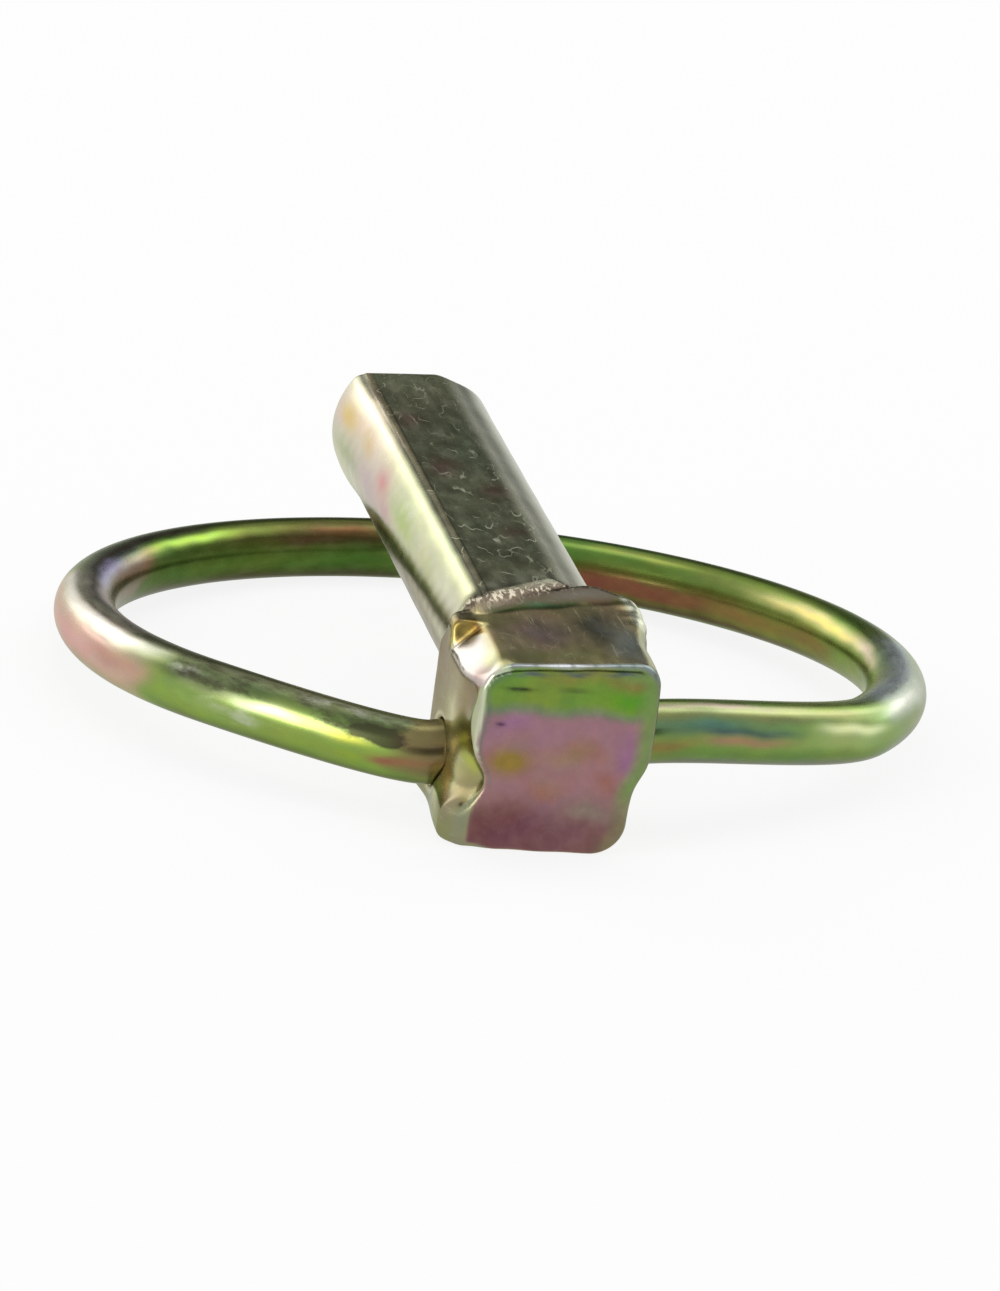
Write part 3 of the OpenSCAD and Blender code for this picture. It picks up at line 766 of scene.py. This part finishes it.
# where each point is, round the wire and along it, drifted a little for ragged edges
offset = wire_points - middles
flat_way = middles - np.array([RING_SHIFT, RING_REACH, 0])
flat_way[:, 2] = 0
flat_way /= np.linalg.norm(flat_way, axis=1)[:, None]
outward = (offset * flat_way).sum(1)
upward = offset[:, 2]
wire_mesh.attributes.remove(wire_mesh.attributes["middle"])
wire_mesh.attributes.remove(wire_mesh.attributes["along"])
kept_on(wire_mesh, "drawn", np.stack([outward, along, upward], axis=1))
turned = np.degrees(np.arctan2(upward, outward))           # 0 outside the ring, 90 on top
run_on = along + 0.8 * np.sin(0.9 * along + 0.03 * turned) + 0.35 * np.sin(0.11 * turned + 1)
turn_on = turned + 3 * np.sin(0.7 * along) + 1.5 * np.sin(2.2 * along + 0.02 * turned + 1)


def stretch(start, end, soft=1.5):
    """1 between two places along the wire."""
    return ease(run_on, start - soft, start + soft) * (1 - ease(run_on, end - soft, end + soft))


def band(middle, spread):
    """1 at an angle round the wire, fading out over its spread."""
    return np.exp(-((((turn_on - middle + 180) % 360) - 180) / spread) ** 2)


def streak(place, reach, middle, spread):
    """1 at a place along the wire and an angle round it, fading out both ways."""
    return swell(run_on, place, reach) * band(middle, spread)


film_and_painted_light = np.tile(tint("#7f9848")[:3], (count, 1))
# behind the pin on the left: dark greens over brown, violet and rust at the bend; a painted
# highlight runs along the top, with painted shade beside it near the pin and along the underside
lay(film_and_painted_light, "#3e551b", stretch(-34, -3, 3))
# painted shade near the pin, where the highlight would fall
lay(film_and_painted_light, "#5c6a2c", stretch(-18, -3, 3) * band(118, 20))
# painted highlight along the top
lay(film_and_painted_light, "#8fae45", stretch(-30, -16, 3) * band(126, 10))
lay(film_and_painted_light, "#54452a", streak(-8.0, 5, 130, 30) * 0.8)
lay(film_and_painted_light, "#51422a", streak(-8.5, 7, 147, 12))
lay(film_and_painted_light, "#6e4a2a", streak(-7.5, 1.8, 133, 8) * 0.7)
lay(film_and_painted_light, "#43601e", stretch(-30, -4, 3) * band(192, 18))
# painted shade along the underside
lay(film_and_painted_light, "#38371f", stretch(-38, -3, 2) * band(234, 18))
lay(film_and_painted_light, "#74543f", stretch(-42, -27, 2) * band(152, 20))
lay(film_and_painted_light, "#7f7266", stretch(-42, -29, 2) * band(182, 20))
# painted highlight: a gold line along the top
lay(film_and_painted_light, "#94864e", streak(-28.0, 3.5, 130, 7))
# the far side, out of sight behind the pin: green with straw and rust
lay(film_and_painted_light, "#8c8040", streak(-6, 7, 20, 34) * 0.8)
lay(film_and_painted_light, "#7e5c3a", streak(9, 6, -20, 26) * 0.7)
lay(film_and_painted_light, "#a3a860", streak(20, 7, 40, 22) * 0.7)
lay(film_and_painted_light, "#6b7c74", streak(-20, 6, 30, 24) * 0.6)
# the left bend: rose outside with a painted highlight in white, a dusky lilac inside
lay(film_and_painted_light, "#c3b2b8", stretch(-54, -36, 2) * band(112, 30))
lay(film_and_painted_light, "#e4b5ad", stretch(-53.5, -35, 2.5) * band(2, 50))
lay(film_and_painted_light, "#b4857a", streak(-51.5, 4.0, 10, 26) * 0.8)
# painted highlight in white on the outside of the bend
lay(film_and_painted_light, "#d9d3cb", stretch(-55, -35, 2.5) * band(58, 20))
lay(film_and_painted_light, "#a8948a", streak(-50, 3.5, 33, 4) + streak(-46, 5, 74, 5))
lay(film_and_painted_light, "#bab4e0", streak(-34.0, 4.6, 117, 20) * 1.1)
# painted dark reflection: a thin line along the top of the wire, from the left leg to behind the
# pin
lay(film_and_painted_light, "#4a3d39", stretch(-72, -20, 2) * band(99, 9))
# the left leg: bright green, dusky on top and darker underneath as painted shade, with a painted
# highlight below its top; soot and brown where it nears the head
lay(film_and_painted_light, "#82a04a", stretch(-76, -55, 2.2) * (1 - 0.8 * band(90, 40)))
# painted shade along the underside
lay(film_and_painted_light, "#5c6c36", stretch(-76, -56, 2) * band(-58, 20))
# painted shade over the top
lay(film_and_painted_light, "#515d3a", stretch(-76, -55, 2) * band(60, 28))
lay(film_and_painted_light, "#56643f", streak(-59, 4.0, 48, 22))
lay(film_and_painted_light, "#6c6a56", stretch(-74, -50, 2) * band(80, 14) * 0.8)
lay(film_and_painted_light, "#8a9a38", streak(-69, 3.5, -20, 16) * 0.7)
lay(film_and_painted_light, "#4e5a38", streak(-58.5, 3.0, 30, 9) * 0.8)
# painted highlight: a pale base under the lamp's highlight, running to yellow
lay(film_and_painted_light, "#c4cb9c", streak(-64.4, 3.6, 18, 10))
lay(film_and_painted_light, "#bdbb48", streak(-68.2, 1.8, 14, 9))
lay(film_and_painted_light, "#766b45", stretch(-90, -72.4, 0.8))
lay(film_and_painted_light, "#5c5235", streak(-74.5, 1.2, 60, 30) * 0.8)
lay(film_and_painted_light, "#905f46", streak(-72.2, 1.0, -12, 9))
# behind the pin on the right: green over rust, turning gold and straw towards the bend, where the
# straw is painted pale as a highlight; painted highlight lines near the pin, and painted shade
# along the underside
lay(film_and_painted_light, "#6a8434", stretch(3, 38, 3))
lay(film_and_painted_light, "#4f6c28", stretch(2, 22, 4))
# painted highlight lines near the pin
lay(film_and_painted_light, "#8a8f45", streak(13, 5, 118, 10) * 0.7)
lay(film_and_painted_light, "#71492f", stretch(2, 21, 4) * band(190, 24) * 1.2)
# painted shade along the underside
lay(film_and_painted_light, "#46371f", stretch(2, 30, 4) * band(227, 12))
lay(film_and_painted_light, "#7b6a34", stretch(20, 34, 3) * band(190, 26))
# straw painted pale as a highlight, whitest towards the bend
lay(film_and_painted_light, "#b3a874", streak(30, 7, 138, 15))
lay(film_and_painted_light, "#c4b257", streak(31, 5, 141, 6) * 0.8)
lay(film_and_painted_light, "#cdbba0", streak(39.5, 3.5, 138, 13))
lay(film_and_painted_light, "#7c9440", streak(37, 4, 192, 26))
# the right bend: steel blue above, a painted highlight in pale white in the middle, grey below
lay(film_and_painted_light, "#c0ccd8", stretch(37, 55, 2.5) * band(84, 26))
# painted highlight in bluish and pale white
lay(film_and_painted_light, "#bfc8c8", streak(48.5, 6, 32, 30))
lay(film_and_painted_light, "#dde0d6", streak(51.5, 6, 40, 15))
lay(film_and_painted_light, "#98a67c", streak(50, 5, 2, 24))
lay(film_and_painted_light, "#8c9192", streak(51, 6, -38, 20))
# the right leg: green with a teal stain, a rose one under it and a rusty end; a painted highlight
# runs along its top with painted shade beside it, and the underside has painted shade
lay(film_and_painted_light, "#728f45", stretch(54, 90, 3) * (1 - band(88, 34)))
# painted shade beside the highlight along the top
lay(film_and_painted_light, "#66784a", stretch(58, 90, 2.5) * band(37, 8) * 0.8)
lay(film_and_painted_light, "#93a867", streak(58.0, 4.5, 0, 24))
# painted highlight, pale yellow-green
lay(film_and_painted_light, "#e2eab0", streak(58.0, 2.6, 20, 9))
lay(film_and_painted_light, "#4a7060", streak(69.5, 4.2, 24, 15))
lay(film_and_painted_light, "#3f5855", streak(68.0, 3.6, 13, 8))
lay(film_and_painted_light, "#9a7a5e", streak(67.5, 2.8, -4, 9))
lay(film_and_painted_light, "#806c3c", streak(73, 2.0, -15, 14))
lay(film_and_painted_light, "#65803a", stretch(56, 74, 3) * band(-32, 14) * 0.7)
# painted shade along the underside
lay(film_and_painted_light, "#6c7066", stretch(54, 78) * band(-60, 16))
# painted shade beside the highlight along the top
lay(film_and_painted_light, "#6f7048", stretch(57, 80, 2) * band(46, 10) * 0.8)
# painted highlight: a pale line along the top
lay(film_and_painted_light, "#b4b884", stretch(56, 71, 3) * swell(turned, 54, 5) * 0.6)
lay(film_and_painted_light, "#a59488", streak(69, 5, 66, 9))

# soot on top of the left leg, and a dull whitish bloom in spots on both legs
grime_and_painted_shade = 0.02 + 0.42 * stretch(-74, -55, 2) * band(64, 24) + 1.1 * streak(-70.6, 2.9, 30, 15)
grime_and_painted_shade += 0.45 * streak(-59, 3.5, 34, 14) + 0.6 * streak(-72.0, 1.0, 20, 8)
dulled = 0.06 + 0.9 * streak(-60.8, 1.8, 8, 16) + 0.8 * streak(-62.8, 1.8, -14, 12)
dulled += 0.7 * streak(-58, 2.0, 44, 10)
dulled += 0.3 * stretch(-54, -36, 2) * band(105, 34) + 0.3 * stretch(37, 54, 2) * band(85, 40)
dulled += 0.8 * streak(-67.6, 1.6, 66, 12) + 0.5 * streak(-50.5, 2.0, -8, 14)
for name, values in (("film_and_painted_light", film_and_painted_light), ("grime_and_painted_shade", np.clip(grime_and_painted_shade, 0, 1.2)),
                     ("dulled", np.clip(dulled, 0, 1))):
    kept_on(wire_mesh, name, values)
wire_mesh.transform(Matrix.Scale(0.001, 4))
wire_mesh.transform(ring_place)
ring = bpy.data.objects.new("spring_ring_dressed", wire_mesh)
bpy.context.scene.collection.objects.link(ring)
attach(ring, "ring")
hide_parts("spring_ring")


# ---- Floor, light and camera -----------------------------------------------------------------
# A pale matt table under a white surround. One soft box hangs overhead, two stand behind and one at
# the front left. Three grey cards out of view give the metal something dark to mirror.

def seen_as_white(tree):
    """1 for what the camera sees, straight or mirrored in the metal."""
    way = put(tree, "ShaderNodeLightPath")
    either = put(tree, "ShaderNodeMath", {0: way.outputs["Is Camera Ray"],
                                          1: way.outputs["Is Glossy Ray"]}, operation="MAXIMUM")
    either = put(tree, "ShaderNodeMath", {0: either.outputs[0],
                                          1: way.outputs["Is Transmission Ray"]},
                 operation="MAXIMUM")
    return either.outputs[0]


table = bpy.data.materials.new("matt_white_table")
table.use_nodes = True
tree = table.node_tree
tree.nodes.clear()
matt = put(tree, "ShaderNodeBsdfDiffuse", {"Color": tint("#f3f3f1")})
white = put(tree, "ShaderNodeEmission", {"Color": (1, 1, 1, 1), "Strength": 1.0})
# most of the table's white is its own; the rest is lit, and takes the object's shadow
share = put(tree, "ShaderNodeMath", {0: seen_as_white(tree), 1: 0.86}, operation="MULTIPLY")
both = put(tree, "ShaderNodeMixShader", {0: share.outputs[0], 1: matt.outputs[0],
                                         2: white.outputs[0]})
put(tree, "ShaderNodeOutputMaterial", {"Surface": both.outputs[0]})
floor_mesh = bpy.data.meshes.new("table")
floor_mesh.from_pydata([(-3, -3, 0), (3, -3, 0), (3, 3, 0), (-3, 3, 0)], [], [(0, 1, 2, 3)])
floor = bpy.data.objects.new("table", floor_mesh)
floor_mesh.materials.append(table)
bpy.context.scene.collection.objects.link(floor)

world = bpy.data.worlds.new("white_surround")
bpy.context.scene.world = world
world.use_nodes = True
tree = world.node_tree
tree.nodes.clear()
dim = put(tree, "ShaderNodeBackground", {"Color": (0.6, 0.6, 0.6, 1), "Strength": 1.0})
bright = put(tree, "ShaderNodeBackground", {"Color": (1, 1, 1, 1), "Strength": 1.0})
both = put(tree, "ShaderNodeMixShader", {0: seen_as_white(tree), 1: dim.outputs[0],
                                         2: bright.outputs[0]})
put(tree, "ShaderNodeOutputWorld", {"Surface": both.outputs[0]})


def from_object(azimuth, height, distance):
    """A place round the object; azimuth 0 is behind it and turns to the right."""
    a, h = math.radians(azimuth), math.radians(height)
    return Vector((math.sin(a) * math.cos(h), math.cos(a) * math.cos(h), math.sin(h))) * distance


def soft_box(name, place, wide, tall, brightness):
    lamp = bpy.data.lights.new(name, "AREA")
    lamp.shape, lamp.size, lamp.size_y = "RECTANGLE", wide, tall
    lamp.energy = brightness * math.pi * wide * tall
    box = bpy.data.objects.new(name, lamp)
    box.location = place
    box.rotation_mode = "QUATERNION"
    box.rotation_quaternion = place.to_track_quat("Z", "Y")
    box.visible_camera = False
    bpy.context.scene.collection.objects.link(box)


soft_box("overhead_box", from_object(20, 72, 1.3), 1.1, 0.45, 1.6)
soft_box("left_box", from_object(-33, 25, 1.5), 0.93, 0.92, 1.5)
soft_box("right_box", from_object(56, 34, 1.5), 0.8, 1.1, 1.5)
soft_box("front_left_box", from_object(-121, 20, 1.5), 0.6, 1.15, 3.4)


def card(name, place, wide, tall, shade):
    """A matt card that only the metal's mirror images see."""
    material = bpy.data.materials.new(name)
    material.use_nodes = True
    tree = material.node_tree
    tree.nodes.clear()
    put(tree, "ShaderNodeOutputMaterial",
        {"Surface": put(tree, "ShaderNodeEmission", {"Color": tint(shade)}).outputs[0]})
    w, t = wide / 2, tall / 2
    mesh = bpy.data.meshes.new(name)
    mesh.from_pydata([(-w, -t, 0), (w, -t, 0), (w, t, 0), (-w, t, 0)], [], [(0, 1, 2, 3)])
    mesh.materials.append(material)
    obj = bpy.data.objects.new(name, mesh)
    obj.location = place
    obj.rotation_mode = "QUATERNION"
    obj.rotation_quaternion = place.to_track_quat("Z", "Y")
    obj.visible_camera = obj.visible_diffuse = obj.visible_shadow = False
    bpy.context.scene.collection.objects.link(obj)


card("back_card", from_object(13, 22, 2.0), 1.2, 0.78, "#555852")
card("low_back_card", from_object(9, 6.8, 2.0), 0.84, 0.34, "#98989a")
card("front_card", from_object(180, 18, 2.0), 2.0, 0.9, "#4a4a47")

camera = bpy.data.cameras.new("camera")
camera.lens, camera.sensor_width, camera.sensor_fit = 275.33, 36.0, "HORIZONTAL"
camera.clip_start, camera.clip_end = 0.01, 20.0
viewer = bpy.data.objects.new("camera", camera)
# it looks at the head's end from 13 degrees to the left and 17 above, rolled by 7, 0.45 m away
right, up = Vector((0.974043, -0.192707, 0.118760)), Vector((-0.055983, 0.303269, 0.951259))
back = right.cross(up)
looks_at, away = Vector((-0.006205, -0.027153, 0.012269)), 0.45
viewer.matrix_world = Matrix((right, up, back)).transposed().to_4x4()
viewer.location = looks_at + away * back
bpy.context.scene.collection.objects.link(viewer)
bpy.context.scene.camera = viewer
bpy.context.scene.view_settings.view_transform = "Standard"
